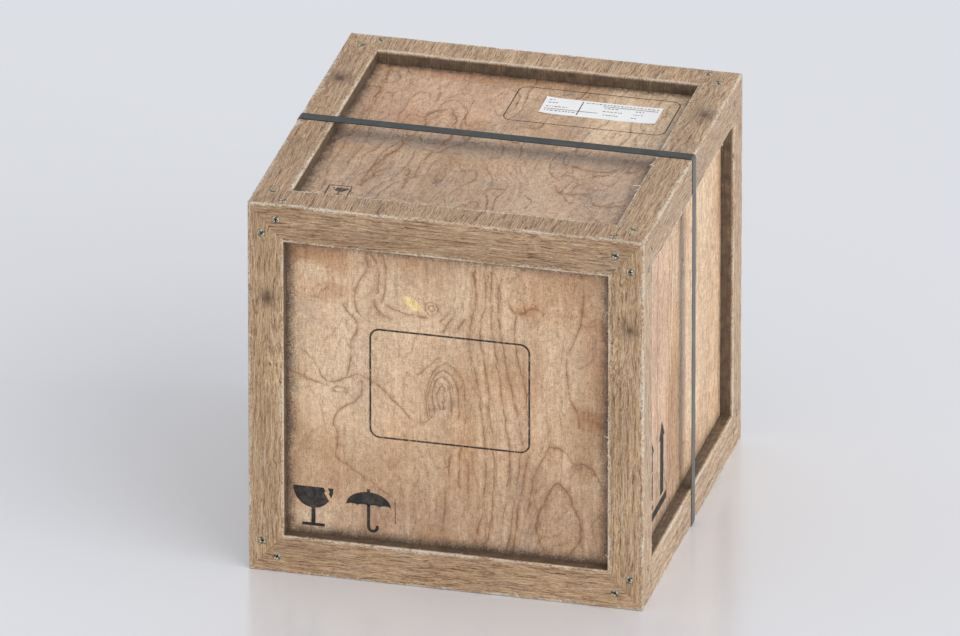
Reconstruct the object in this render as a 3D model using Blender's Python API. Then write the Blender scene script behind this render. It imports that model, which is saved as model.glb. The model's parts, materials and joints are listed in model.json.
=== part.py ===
"""Shipping crate: a mitred timber frame, grooved-in plywood panels, a lift-off lid and a steel strap."""

import math

import bmesh
import bpy
from mathutils import Matrix, Vector

# Overall size, over the timber
WIDTH = 0.500
DEPTH = 0.513
HEIGHT = 0.499

# Timber: posts are square, rails are as wide and a little taller
TIMBER_WIDTH = 0.045
RAIL_HEIGHT = 0.050
OUTER_ROUND = 0.003
EDGE_CHAMFER = 0.0015
ROUND_STEPS = 3

# Plywood, held in grooves behind the frame's outer face
PANEL_THICKNESS = 0.006
PANEL_RECESS = 0.0165
GROOVE_DEPTH = 0.006

# What touching pieces leave between them
FIT_GAP = 0.0003

# Countersunk screws, without their thread
SCREW_LENGTH = 0.070
SHORT_SCREW_LENGTH = 0.030
SCREW_HEAD_RADIUS = 0.005
SCREW_HEAD_RIM = 0.0006
SCREW_HEAD_CONE = 0.0031
SCREW_HEAD_SINK = 0.0003
SCREW_SHANK_RADIUS = 0.0019
SCREW_POINT = 0.006
SCREW_SIDES = 10
CROSS_SPAN = 0.0052
CROSS_ARM = 0.0013
CROSS_DEPTH = 0.0022
CROSS_TAPER = 0.40

# Wood left beside a screw's bore, and the step between screws that cross
SCREW_WALL = 0.0008
SCREW_STAGGER = 0.005

# Steel strap round the middle, and the crimped seal on its left run
STRAP_WIDTH = 0.016
STRAP_THICKNESS = 0.0008
STRAP_FOOT_BEND = 0.001
STRAP_CUT_DROP = 0.010
STRAP_NOTCH_CLEARANCE = 0.001
SEAL_LENGTH = 0.030
SEAL_SHEET = 0.0007
SEAL_LIP = 0.005
SEAL_HEIGHT = 0.260
CRIMP_WIDTH = 0.004
CRIMP_DEPTH = 0.0016
CRIMP_SPACING = 0.012

# How far a cutter reaches past what it cuts, and points this near count as one
CUT_MARGIN = 0.001
MERGE_DISTANCE = 1e-6

X, Y, Z = range(3)
SIZE = (WIDTH, DEPTH, HEIGHT)
# How far the timbers along a face reach in from it, for the faces across X, Y and Z
REACH = (TIMBER_WIDTH, TIMBER_WIDTH, RAIL_HEIGHT)
BORE_RADIUS = SCREW_SHANK_RADIUS + FIT_GAP
# The groove's near and far walls and its floor, as depths from the crate's outer faces
GROOVE_NEAR = PANEL_RECESS - FIT_GAP
GROOVE_FAR = PANEL_RECESS + PANEL_THICKNESS + FIT_GAP
LID_SEAT = HEIGHT - RAIL_HEIGHT
STRAP_NOTCH_DEPTH = STRAP_THICKNESS + 2 * FIT_GAP

SIDE_NAMES = {X: {-1: "left", 1: "right"}, Y: {-1: "front", 1: "back"}, Z: {-1: "base", 1: "lid"}}
LEVEL_NAMES = {-1: "bottom", 1: "top"}


def clear_scene():
    for obj in list(bpy.data.objects):
        bpy.data.objects.remove(obj, do_unlink=True)


def make_material(name, colour, roughness, metallic=0.0):
    material = bpy.data.materials.new(name)
    material.use_nodes = True
    shader = material.node_tree.nodes["Principled BSDF"]
    shader.inputs["Base Color"].default_value = (*colour, 1.0)
    shader.inputs["Roughness"].default_value = roughness
    shader.inputs["Metallic"].default_value = metallic
    return material


def add_object(name, mesh, material, location=(0, 0, 0), parent=None):
    """Adds a mesh object at a place in the world, carried by its parent."""
    obj = bpy.data.objects.new(name, mesh)
    if not mesh.materials:
        mesh.materials.append(material)
    obj.location = Vector(location)
    if parent:
        obj.parent = parent
        obj.location -= parent.location
    bpy.context.collection.objects.link(obj)
    return obj


def mesh_from(bm, name):
    """Turns a bmesh into a mesh with its faces outward."""
    bmesh.ops.recalc_face_normals(bm, faces=bm.faces[:])
    mesh = bpy.data.meshes.new(name)
    bm.to_mesh(mesh)
    bm.free()
    return mesh


def add_cutter(name, mesh):
    cutter = bpy.data.objects.new(name, mesh)
    cutter.hide_render = True
    cutter.display_type = "WIRE"
    bpy.context.collection.objects.link(cutter)
    return cutter


def cut(obj, cutter):
    modifier = obj.modifiers.new(cutter.name, "BOOLEAN")
    modifier.operation = "DIFFERENCE"
    modifier.solver = "EXACT"
    modifier.object = cutter


def corner(signs):
    """The crate's outer corner on the given sides; a zero keeps to the middle."""
    return Vector([sign * size / 2 for sign, size in zip(signs, SIZE)]) + Vector((0, 0, HEIGHT / 2))


def inset(signs, depths):
    """A point these depths in from the outer faces that meet at a corner."""
    return corner(signs) - Vector([sign * depth for sign, depth in zip(signs, depths)])


def arc(centre, radius, start, stop, steps):
    """Points on an arc in a plane, from one angle in degrees to another."""
    angles = [math.radians(start + (stop - start) * step / steps) for step in range(steps + 1)]
    return [(centre[0] + radius * math.cos(a), centre[1] + radius * math.sin(a)) for a in angles]


def extruded(outline, place, run):
    """A bmesh prism: the outline's points, put in the world by a function, swept along a vector."""
    bm = bmesh.new()
    face = bm.faces.new([bm.verts.new(place(point)) for point in outline])
    swept = bmesh.ops.extrude_face_region(bm, geom=[face])
    moved = [item for item in swept["geom"] if isinstance(item, bmesh.types.BMVert)]
    bmesh.ops.translate(bm, verts=moved, vec=run)
    return bm


def timber_section(across, up):
    """Outline of a timber as depths from its two outer faces, with a groove in each inner side."""
    floor_across = across - GROOVE_DEPTH
    floor_up = up - GROOVE_DEPTH
    return [
        *arc((OUTER_ROUND, OUTER_ROUND), OUTER_ROUND, 180, 270, ROUND_STEPS),
        (across - EDGE_CHAMFER, 0),
        (across, EDGE_CHAMFER),
        (across, GROOVE_NEAR),
        (floor_across, GROOVE_NEAR),
        (floor_across, GROOVE_FAR),
        (across, GROOVE_FAR),
        (across, up - EDGE_CHAMFER),
        (across - EDGE_CHAMFER, up),
        (GROOVE_FAR, up),
        (GROOVE_FAR, floor_up),
        (GROOVE_NEAR, floor_up),
        (GROOVE_NEAR, up),
        (EDGE_CHAMFER, up),
        (0, up - EDGE_CHAMFER),
    ]


def slice_off(bm, point, normal):
    """Cuts away what lies behind a plane and closes the cut."""
    geometry = bm.verts[:] + bm.edges[:] + bm.faces[:]
    made = bmesh.ops.bisect_plane(
        bm, geom=geometry, dist=MERGE_DISTANCE, plane_co=point, plane_no=normal, clear_inner=True
    )
    rim = [item for item in made["geom_cut"] if isinstance(item, bmesh.types.BMEdge)]
    bmesh.ops.edgeloop_fill(bm, edges=rim)


def timber(name, along, signs, material, parent=None):
    """One frame timber on an outer edge of the crate, mitred three ways at both ends.

    At a corner each of the three timbers keeps the space nearest its own run, so two mitre
    planes cut each end, and the lid's rails can lift straight off the posts.
    """
    first, second = [axis for axis in (X, Y, Z) if axis != along]

    def place(point):
        depths = [0, 0, 0]
        depths[first], depths[second] = point
        depths[along] = SIZE[along] / 2
        return inset([signs[axis] or 1 for axis in (X, Y, Z)], depths)

    start = Vector([SIZE[axis] / 2 if axis == along else 0 for axis in (X, Y, Z)])
    outline = timber_section(REACH[first], REACH[second])
    bm = extruded(outline, lambda point: place(point) - start, 2 * start)
    for end in (-1, 1):
        end_signs = [signs[axis] or end for axis in (X, Y, Z)]
        for other in (first, second):
            normal = Vector((0, 0, 0))
            normal[along] = -end / REACH[along]
            normal[other] = signs[other] / REACH[other]
            normal.normalize()
            slice_off(bm, corner(end_signs) + normal * FIT_GAP / 2, normal)
    centre = place((REACH[first] / 2, REACH[second] / 2))
    bmesh.ops.translate(bm, verts=bm.verts[:], vec=-centre)
    return add_object(name, mesh_from(bm, name), material, centre, parent)


def build_frame(material, lid):
    """The four posts, the four base rails and the four lid rails."""
    timbers = []
    for side in (-1, 1):
        for depth in (-1, 1):
            name = f"post_{SIDE_NAMES[Y][depth]}_{SIDE_NAMES[X][side]}"
            timbers.append(timber(name, Z, (side, depth, 0), material))
    for level, parent in ((-1, None), (1, lid)):
        for sign in (-1, 1):
            start = f"{SIDE_NAMES[Z][level]}_rail_"
            timbers.append(timber(start + SIDE_NAMES[Y][sign], X, (0, sign, level), material, parent))
            timbers.append(timber(start + SIDE_NAMES[X][sign], Y, (sign, 0, level), material, parent))
    return timbers


def panel(name, across, sign, material, parent=None):
    """A plywood panel whose four edges sit in the grooves round one face."""
    edge = [reach - GROOVE_DEPTH + FIT_GAP for reach in REACH]
    size = [SIZE[axis] - 2 * edge[axis] for axis in (X, Y, Z)]
    size[across] = PANEL_THICKNESS
    depths = [0, 0, 0]
    depths[across] = PANEL_RECESS + PANEL_THICKNESS / 2
    signs = [sign if axis == across else 0 for axis in (X, Y, Z)]
    bm = bmesh.new()
    bmesh.ops.create_cube(bm, size=1.0, matrix=Matrix.Diagonal((*size, 1)))
    return add_object(name, mesh_from(bm, name), material, inset(signs, depths), parent)


def build_panels(material, lid):
    for axis in (X, Y):
        for sign in (-1, 1):
            panel(f"{SIDE_NAMES[axis][sign]}_panel", axis, sign, material)
    panel("base_panel", Z, -1, material)
    panel("lid_panel", Z, 1, material, lid)


def revolved(profile):
    """A closed solid of revolution about Z from (radius, height) points that start and end on the axis."""
    bm = bmesh.new()
    verts = [bm.verts.new((radius, 0, height)) for radius, height in profile]
    edges = [bm.edges.new(pair) for pair in zip(verts, verts[1:])]
    bmesh.ops.spin(
        bm, geom=verts + edges, cent=(0, 0, 0), axis=(0, 0, 1), angle=2 * math.pi, steps=SCREW_SIDES
    )
    bmesh.ops.remove_doubles(bm, verts=bm.verts[:], dist=MERGE_DISTANCE)
    return bm


def screw_profile(length, top, grow=0.0):
    """A countersunk screw from its top face down to its point, or its bore when grown by a gap."""
    rim = -SCREW_HEAD_SINK - SCREW_HEAD_RIM
    return [
        (0, top),
        (SCREW_HEAD_RADIUS + grow, top),
        (SCREW_HEAD_RADIUS + grow, rim),
        (SCREW_SHANK_RADIUS + grow, rim - SCREW_HEAD_CONE),
        (SCREW_SHANK_RADIUS + grow, SCREW_POINT - length),
        (0, -length - grow),
    ]


def cross_recess():
    """Tapered cross that sinks into a screw head, wider above the head than at its floor."""
    half, arm = CROSS_SPAN / 2, CROSS_ARM / 2
    quarter = [(half, -arm), (half, arm), (arm, arm)]
    turns = [Matrix.Rotation(math.radians(90 * turn), 2) for turn in range(4)]
    outline = [turn @ Vector(point) for turn in turns for point in quarter]
    floor = -SCREW_HEAD_SINK - CROSS_DEPTH
    bm = extruded(outline, lambda point: (*point, floor), Vector((0, 0, CROSS_DEPTH + CUT_MARGIN)))
    for vert in bm.verts:
        if math.isclose(vert.co.z, floor, abs_tol=MERGE_DISTANCE):
            vert.co.xy *= CROSS_TAPER
    return bm


def screw_mesh(name, length, material):
    """A screw with its cross recess cut in, made once and shared by every screw of that length."""
    blank = add_object(name, mesh_from(revolved(screw_profile(length, -SCREW_HEAD_SINK)), name), material)
    cutter = add_cutter(name + "_recess", mesh_from(cross_recess(), name + "_recess"))
    cut(blank, cutter)
    evaluated = blank.evaluated_get(bpy.context.evaluated_depsgraph_get())
    mesh = bpy.data.meshes.new_from_object(evaluated)
    bpy.data.objects.remove(blank)
    bpy.data.objects.remove(cutter)
    return mesh


def screw_places():
    """Name, depths from the three outer faces, sides, driven face, length and lid flag of each screw.

    The depths keep every bore clear of the panels' grooves and step the screws that cross apart.
    """
    beside_groove = TIMBER_WIDTH - GROOVE_DEPTH - BORE_RADIUS - SCREW_WALL
    above_groove = RAIL_HEIGHT - GROOVE_DEPTH - BORE_RADIUS - SCREW_WALL
    outside_panel = GROOVE_NEAR - BORE_RADIUS - SCREW_WALL
    inside_panel = GROOVE_FAR + BORE_RADIUS + SCREW_WALL
    mid_rail = TIMBER_WIDTH / 2

    front_rail = (beside_groove, 0, inside_panel - SCREW_STAGGER)
    front_post = (mid_rail - SCREW_STAGGER, 0, above_groove)
    side_rail = (0, beside_groove + SCREW_STAGGER, inside_panel)
    side_post = (0, inside_panel, above_groove + SCREW_STAGGER)
    lid_in_cross_rail = (beside_groove + SCREW_STAGGER, outside_panel, 0)
    lid_in_side_rail = (mid_rail, beside_groove, 0)

    for side in (-1, 1):
        for level in (-1, 1):
            top = level == 1
            # A short screw stays in its post, so that the lid above it can lift
            post_length = SHORT_SCREW_LENGTH if top else SCREW_LENGTH
            start = f"front_screw_{LEVEL_NAMES[level]}_{SIDE_NAMES[X][side]}_in_"
            signs = (side, -1, level)
            yield start + "rail", front_rail, signs, Y, SCREW_LENGTH, top
            yield start + "post", front_post, signs, Y, post_length, False
            for depth in (-1, 1):
                start = f"{SIDE_NAMES[X][side]}_screw_{LEVEL_NAMES[level]}_{SIDE_NAMES[Y][depth]}_in_"
                signs = (side, depth, level)
                yield start + "rail", side_rail, signs, X, SCREW_LENGTH, top
                yield start + "post", side_post, signs, X, post_length, False
        for depth in (-1, 1):
            start = f"lid_screw_{SIDE_NAMES[Y][depth]}_{SIDE_NAMES[X][side]}_in_"
            signs = (side, depth, 1)
            yield start + "cross_rail", lid_in_cross_rail, signs, Z, SCREW_LENGTH, True
            yield start + "side_rail", lid_in_side_rail, signs, Z, SCREW_LENGTH, True


def build_screws(material, lid, timbers):
    """Drives the screws of the front, left, right and lid faces, each in its own countersunk bore."""
    lengths = (SCREW_LENGTH, SHORT_SCREW_LENGTH)
    screws = {length: screw_mesh("screw", length, material) for length in lengths}
    bores = bmesh.new()
    for name, depths, signs, face, length, on_lid in screw_places():
        location = inset(signs, depths)
        outward = Vector([signs[axis] if axis == face else 0 for axis in (X, Y, Z)])
        turn = outward.to_track_quat("Z", "Y")
        screw = add_object(name, screws[length], material, location, lid if on_lid else None)
        screw.rotation_mode = "QUATERNION"
        screw.rotation_quaternion = turn
        bore = revolved(screw_profile(length, CUT_MARGIN, FIT_GAP))
        bmesh.ops.transform(bore, matrix=Matrix.LocRotScale(location, turn, None), verts=bore.verts[:])
        bore_mesh = mesh_from(bore, "bore")
        bores.from_mesh(bore_mesh)
        bpy.data.meshes.remove(bore_mesh)
    cutter = add_cutter("screw_bores", mesh_from(bores, "screw_bores"))
    for obj in timbers:
        cut(obj, cutter)


def strap_line(over_lid, offset):
    """Points of one strap length in X and Z, left to right, an offset outward from its inner face."""
    cut_height = LID_SEAT - STRAP_CUT_DROP
    if over_lid:
        bend = OUTER_ROUND + FIT_GAP
        bend_height = HEIGHT - OUTER_ROUND
        end, angles = cut_height + FIT_GAP / 2, (180, 90, 0)
    else:
        bend = STRAP_FOOT_BEND
        bend_height = STRAP_NOTCH_DEPTH - FIT_GAP + bend
        end, angles = cut_height - FIT_GAP / 2, (180, 270, 360)
    half = WIDTH / 2 + FIT_GAP
    left = arc((bend - half, bend_height), bend + offset, angles[0], angles[1], ROUND_STEPS)
    right = arc((half - bend, bend_height), bend + offset, angles[1], angles[2], ROUND_STEPS)
    return [(-half - offset, end), *left, *right, (half + offset, end)]


def strap_length(name, over_lid, material, parent=None):
    """One length of the strap: over the lid, or under the base, meeting at a cut on each side."""
    outline = strap_line(over_lid, 0) + strap_line(over_lid, STRAP_THICKNESS)[::-1]
    front = -STRAP_WIDTH / 2
    bm = extruded(outline, lambda point: (point[0], front, point[1]), Vector((0, STRAP_WIDTH, 0)))
    centre = Vector((0, 0, HEIGHT if over_lid else 0))
    bmesh.ops.translate(bm, verts=bm.verts[:], vec=-centre)
    return add_object(name, mesh_from(bm, name), material, centre, parent)


def crimp_notches(half_width):
    """Four wedges that bite into both edges of the seal, two a side."""
    notches = bmesh.new()
    for edge in (-1, 1):
        for level in (-1, 1):
            middle = level * CRIMP_SPACING / 2
            outline = [
                (edge * (half_width - CRIMP_DEPTH), middle),
                (edge * (half_width + CUT_MARGIN), middle - CRIMP_WIDTH / 2),
                (edge * (half_width + CUT_MARGIN), middle + CRIMP_WIDTH / 2),
            ]
            reach = 2 * (STRAP_THICKNESS + SEAL_SHEET + FIT_GAP + CUT_MARGIN)
            wedge = extruded(outline, lambda point: (-reach, *point), Vector((2 * reach, 0, 0)))
            wedge_mesh = mesh_from(wedge, "crimp")
            notches.from_mesh(wedge_mesh)
            bpy.data.meshes.remove(wedge_mesh)
    return mesh_from(notches, "strap_seal_crimps")


def build_seal(material):
    """A folded sheet sleeve round the strap's left run, lipped behind it and crimped at both edges."""
    inner_x = STRAP_THICKNESS / 2 + FIT_GAP
    inner_y = STRAP_WIDTH / 2 + FIT_GAP
    outer_x, outer_y = inner_x + SEAL_SHEET, inner_y + SEAL_SHEET
    lip_y = inner_y - SEAL_LIP
    outline = [
        (outer_x, -lip_y),
        (outer_x, -outer_y),
        (-outer_x, -outer_y),
        (-outer_x, outer_y),
        (outer_x, outer_y),
        (outer_x, lip_y),
        (inner_x, lip_y),
        (inner_x, inner_y),
        (-inner_x, inner_y),
        (-inner_x, -inner_y),
        (inner_x, -inner_y),
        (inner_x, -lip_y),
    ]
    bm = extruded(outline, lambda point: (*point, -SEAL_LENGTH / 2), Vector((0, 0, SEAL_LENGTH)))
    location = Vector((-WIDTH / 2 - FIT_GAP - STRAP_THICKNESS / 2, 0, SEAL_HEIGHT))
    seal = add_object("strap_seal", mesh_from(bm, "strap_seal"), material, location)
    cutter = add_cutter("seal_crimps", crimp_notches(outer_y))
    cutter.location = location
    cut(seal, cutter)


def build_strap(material, seal_material, lid, timbers):
    """The strap in two lengths, its seal, and the notches that let it pass under the base rails."""
    strap_length("strap_over_lid", True, material, lid)
    strap_length("strap_under_base", False, material)
    build_seal(seal_material)
    notch_width = STRAP_WIDTH + 2 * STRAP_NOTCH_CLEARANCE
    size = (WIDTH + 2 * CUT_MARGIN, notch_width, STRAP_NOTCH_DEPTH + CUT_MARGIN)
    bm = bmesh.new()
    bmesh.ops.create_cube(bm, size=1.0, matrix=Matrix.Diagonal((*size, 1)))
    cutter = add_cutter("strap_notch", mesh_from(bm, "strap_notch"))
    cutter.location.z = (STRAP_NOTCH_DEPTH - CUT_MARGIN) / 2
    for obj in timbers:
        if obj.name in ("base_rail_left", "base_rail_right"):
            cut(obj, cutter)


def main():
    clear_scene()
    timber_wood = make_material("weathered_timber", (0.36, 0.25, 0.16), 0.75)
    plywood = make_material("plywood", (0.45, 0.29, 0.19), 0.65)
    zinc = make_material("zinc_plate", (0.55, 0.56, 0.55), 0.35, 1.0)
    strap_steel = make_material("painted_strap_steel", (0.07, 0.09, 0.09), 0.45, 0.6)
    seal_steel = make_material("seal_steel", (0.30, 0.31, 0.31), 0.40, 0.9)

    lid = bpy.data.objects.new("lid_lift", None)
    lid.location = (0, 0, LID_SEAT)
    bpy.context.collection.objects.link(lid)

    timbers = build_frame(timber_wood, lid)
    build_panels(plywood, lid)
    build_screws(zinc, lid, timbers)
    build_strap(strap_steel, seal_steel, lid, timbers)


main()
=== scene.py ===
import json
import math
import random
from collections import namedtuple

import bmesh
import bpy
from mathutils import Matrix, Vector, noise


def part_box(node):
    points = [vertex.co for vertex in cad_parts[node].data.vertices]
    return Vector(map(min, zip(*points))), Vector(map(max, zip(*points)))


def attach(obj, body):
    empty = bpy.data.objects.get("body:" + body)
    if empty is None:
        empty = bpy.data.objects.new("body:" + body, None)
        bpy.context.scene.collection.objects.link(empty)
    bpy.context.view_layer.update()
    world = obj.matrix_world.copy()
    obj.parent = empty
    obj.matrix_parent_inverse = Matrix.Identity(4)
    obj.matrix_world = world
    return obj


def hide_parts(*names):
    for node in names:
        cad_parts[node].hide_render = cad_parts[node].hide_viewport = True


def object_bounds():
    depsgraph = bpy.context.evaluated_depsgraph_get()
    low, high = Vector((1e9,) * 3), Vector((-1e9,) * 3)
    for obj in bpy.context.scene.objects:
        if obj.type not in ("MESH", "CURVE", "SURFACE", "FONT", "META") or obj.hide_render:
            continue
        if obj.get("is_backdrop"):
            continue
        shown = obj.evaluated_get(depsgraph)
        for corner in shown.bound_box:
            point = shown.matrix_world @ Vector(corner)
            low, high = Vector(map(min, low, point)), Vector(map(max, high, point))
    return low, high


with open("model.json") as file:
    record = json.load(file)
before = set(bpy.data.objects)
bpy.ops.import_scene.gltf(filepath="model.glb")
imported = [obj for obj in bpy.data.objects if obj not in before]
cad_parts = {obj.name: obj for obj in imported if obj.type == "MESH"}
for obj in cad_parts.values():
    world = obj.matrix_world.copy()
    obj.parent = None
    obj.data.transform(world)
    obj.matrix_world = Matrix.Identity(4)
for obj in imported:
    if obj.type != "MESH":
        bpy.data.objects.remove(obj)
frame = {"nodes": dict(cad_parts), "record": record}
cad_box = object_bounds()

# The crate's plan, repeated from the part's source, in metres
WIDTH = 0.500
DEPTH = 0.513
HEIGHT = 0.499
TIMBER_WIDTH = 0.045
RAIL_HEIGHT = 0.050
PANEL_RECESS = 0.0165
PANEL_THICKNESS = 0.006
GROOVE_DEPTH = 0.006
FIT_GAP = 0.0003
STRAP_WIDTH = 0.016
STRAP_NOTCH_WIDTH = 0.018
STRAP_NOTCH_DEPTH = 0.0014
SCREW_HEAD_RADIUS = 0.005
SCREW_HEAD_DEPTH = 0.0037
SCREW_HEAD_SINK = 0.0003
SCREW_SHANK_RADIUS = 0.0019

X, Y, Z = range(3)
SIZE = (WIDTH, DEPTH, HEIGHT)
REACH = (TIMBER_WIDTH, TIMBER_WIDTH, RAIL_HEIGHT)

# Finer forms of the timbers that the solids leave out
TIMBER_ROWS = 160
OUTER_ROUND = 0.0026
INNER_EASE = 0.0012
MITRE_GAP = 0.00015

# The photograph's view: angles in degrees, pixels per metre, and the crate's middle in the picture
IMAGE_SIZE = (960, 636)
CAMERA_AZIMUTH = 14.11
CAMERA_ELEVATION = 25.23
PIXELS_PER_METRE = 810.5
CRATE_PIXEL = (496.2, 320.3)
CAMERA_LENS = 1000
CAMERA_SENSOR = 36

Timber = namedtuple("Timber", "name body along sides seed")
Screw = namedtuple("Screw", "name node body axis sign place length")


def from_face(axis, sign, depth):
    """The coordinate that lies a depth inside the crate's outer face on that side."""
    if axis == Z:
        return HEIGHT - depth if sign > 0 else depth
    return sign * (SIZE[axis] / 2 - depth)


def depth_at(place, axis, sign):
    """How deep a point lies inside that outer face, as a number or a shader field."""
    if axis == Z:
        return HEIGHT - place[Z] if sign > 0 else place[Z]
    return SIZE[axis] / 2 - sign * place[axis]


def vector(*parts):
    """The vector with those (axis, coordinate) pairs."""
    made = Vector()
    for axis, part in parts:
        made[axis] = part
    return made


# Shader arithmetic

# What a tone of 0.2 and one of 1.8 multiply a colour by: the darker, the warmer
SHADE_DEEP = (0.264, 0.12, 0.064)
SHADE_HIGH = (1.736, 1.88, 1.936)
# How far apart two seeds lie in a noise, along each axis
SEED_STEP = (3.71, 1.93, 5.17)
# The breadth that a drawn curve can cover, in metres
CURVE_SPAN = 0.5


def operation(kind, swapped=False):
    """A field's method that joins it with other values in one math node."""
    def apply(field, *others):
        return field.graph.math(kind, *((*others, field) if swapped else (field, *others)))
    return apply


class Field:
    """One value in a node tree, so that a material reads as plain arithmetic."""

    __add__ = __radd__ = operation("ADD")
    __mul__ = __rmul__ = operation("MULTIPLY")
    __sub__ = operation("SUBTRACT")
    __rsub__ = operation("SUBTRACT", swapped=True)
    __truediv__ = operation("DIVIDE")
    __abs__ = operation("ABSOLUTE")
    least = operation("MINIMUM")
    most = operation("MAXIMUM")
    fraction = operation("FRACT")
    sign = operation("SIGN")
    root = operation("SQRT")
    exponential = operation("EXPONENT")

    def __init__(self, graph, socket):
        self.graph = graph
        self.socket = socket

    def rise(self, low, high):
        """0 below low, 1 above high, smooth between."""
        return self.graph.mapped(self, low, high, 0, 1)

    def fall(self, low, high):
        return self.graph.mapped(self, low, high, 1, 0)

    def noise(self, scale, step, detail=2, roughness=0.5):
        """A noise from 0 to 1 at a point, its scale in cycles per metre along each axis or along all."""
        graph = self.graph
        scale = scale if isinstance(scale, tuple) else (scale,) * 3
        offset = [(graph.seed + step) * part for part in SEED_STEP]
        moved = graph.add("ShaderNodeVectorMath", self, scale, offset, operation="MULTIPLY_ADD")
        return graph.add("ShaderNodeTexNoise", moved, 0, 1, detail, roughness)

    def parts(self):
        """A point's x, y and z."""
        made = self.graph.node("ShaderNodeSeparateXYZ")
        self.graph.feed(made.inputs[0], self)
        return [Field(self.graph, socket) for socket in made.outputs]

    def curve(self, places):
        """A smooth curve through (place, height) pairs in millimetres, as a height in metres."""
        made = self.graph.node("ShaderNodeFloatCurve")
        self.graph.feed(made.inputs["Value"], self / CURVE_SPAN + 0.5)
        spots = [[part / 1000 / CURVE_SPAN + 0.5 for part in place] for place in places]
        points = made.mapping.curves[0].points
        points[0].location, points[1].location = spots[0], spots[-1]
        for spot in spots[1:-1]:
            points.new(*spot)
        made.mapping.extend = "HORIZONTAL"
        made.mapping.update()
        return (Field(self.graph, made.outputs[0]) - 0.5) * CURVE_SPAN

    def beyond(self, low, high):
        """How far a value lies outside two ends in millimetres."""
        from_middle = abs(self - (low + high) / 2000)
        return from_middle - from_middle.least((high - low) / 2000)


def point_at(*parts):
    return parts[0].graph.add("ShaderNodeCombineXYZ", *parts)


def hypot(a, b):
    return (a * a + b * b).root()


def to_spot(across, along, *sizes):
    """How far out in a spot a point lies, where 1 is its edge. The spot's sizes are in millimetres."""
    u, v, width, length = (size / 1000 for size in sizes)
    return hypot((across - u) / width, (along - v) / length)


class Graph:
    """The node tree of a material or a world, with the seed of its noises."""

    def __init__(self, owner, seed=0):
        self.owner = owner
        self.seed = seed
        owner.use_nodes = True
        self.tree = owner.node_tree
        self.tree.nodes.clear()

    def node(self, kind, **settings):
        made = self.tree.nodes.new(kind)
        for key, value in settings.items():
            setattr(made, key, value)
        return made

    def feed(self, socket, value):
        if isinstance(value, Field):
            value = value.socket
        if isinstance(value, bpy.types.NodeSocket):
            self.tree.links.new(value, socket)
        else:
            socket.default_value = value

    def add(self, kind, *values, **settings):
        """The first output of a new node, whose inputs take the values in turn."""
        made = self.node(kind, **settings)
        for socket, value in zip(made.inputs, values):
            self.feed(socket, value)
        return Field(self, made.outputs[0])

    def math(self, kind, *values):
        return self.add("ShaderNodeMath", *values, operation=kind)

    def mapped(self, *values):
        return self.add("ShaderNodeMapRange", *values, interpolation_type="SMOOTHSTEP")

    def point(self):
        """The shaded point in its object's own frame, in metres."""
        return Field(self, self.node("ShaderNodeTexCoord").outputs["Object"])

    def mix(self, share, start, end, blend="MIX"):
        made = self.node("ShaderNodeMix", data_type="RGBA", blend_type=blend)
        self.feed(made.inputs[0], share)
        for socket, colour in zip(made.inputs[6:8], (start, end)):
            self.feed(socket, (*colour, 1) if isinstance(colour, tuple) else colour)
        return made.outputs[2]

    def shade(self, colour, tone):
        """The colour made darker and warmer, or lighter and cooler, by a number round 1."""
        return self.mix(1, colour, self.mix(tone * 0.625 - 0.125, SHADE_DEEP, SHADE_HIGH), "MULTIPLY")

    def finish(self, colour, roughness, height=None, relief=0.0003, strength=1.0, constants=()):
        """The finished material. The constants are further values of its shader, by name."""
        values = {"Base Color": colour, "Roughness": roughness, **dict(constants)}
        if height is not None:
            bump = self.node("ShaderNodeBump")
            for name, value in (("Strength", strength), ("Distance", relief), ("Height", height)):
                self.feed(bump.inputs[name], value)
            values["Normal"] = bump.outputs[0]
        shader = self.node("ShaderNodeBsdfPrincipled")
        for name, value in values.items():
            self.feed(shader.inputs[name], value)
        self.feed(self.node("ShaderNodeOutputMaterial").inputs["Surface"], shader.outputs[0])
        return self.owner


def material_graph(name, seed=0):
    return Graph(bpy.data.materials.new(name), seed)


# Pieces

def link(name, data):
    made = bpy.data.objects.new(name, data)
    bpy.context.scene.collection.objects.link(made)
    return made


def add_piece(mesh, body, replaces=(), name=None, place=Matrix()):
    piece = link(name or mesh.name, mesh)
    piece.matrix_world = place
    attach(piece, body)
    if replaces:
        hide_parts(*replaces)


def mesh_from(shape, name):
    mesh = bpy.data.meshes.new(name)
    shape.to_mesh(mesh)
    shape.free()
    return mesh


def bridge(shape, rings, closed=True):
    """Four-sided faces between each row of vertices and the next."""
    for first, second in zip(rings, rings[1:]):
        for n in range(len(first) if closed else len(first) - 1):
            after = (n + 1) % len(first)
            shape.faces.new((first[n], first[after], second[after], second[n]))


def cut(mesh, cutter_mesh):
    """The mesh less the cutter, as a new mesh of the same name."""
    target = link("cut_target", mesh)
    cutter = link("cut_tool", cutter_mesh)
    modifier = target.modifiers.new("cut", "BOOLEAN")
    modifier.operation = "DIFFERENCE"
    modifier.solver = "EXACT"
    modifier.object = cutter
    graph = bpy.context.evaluated_depsgraph_get()
    result = bpy.data.meshes.new_from_object(target.evaluated_get(graph))
    name = mesh.name
    for made in (target, cutter):
        bpy.data.objects.remove(made)
    bpy.data.meshes.remove(mesh)
    result.name = name
    result.materials.clear()
    return result


def smoothed(mesh, degrees):
    for face in mesh.polygons:
        face.use_smooth = True
    mesh.set_sharp_from_angle(angle=math.radians(degrees))
    return mesh


# Timbers

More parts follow.
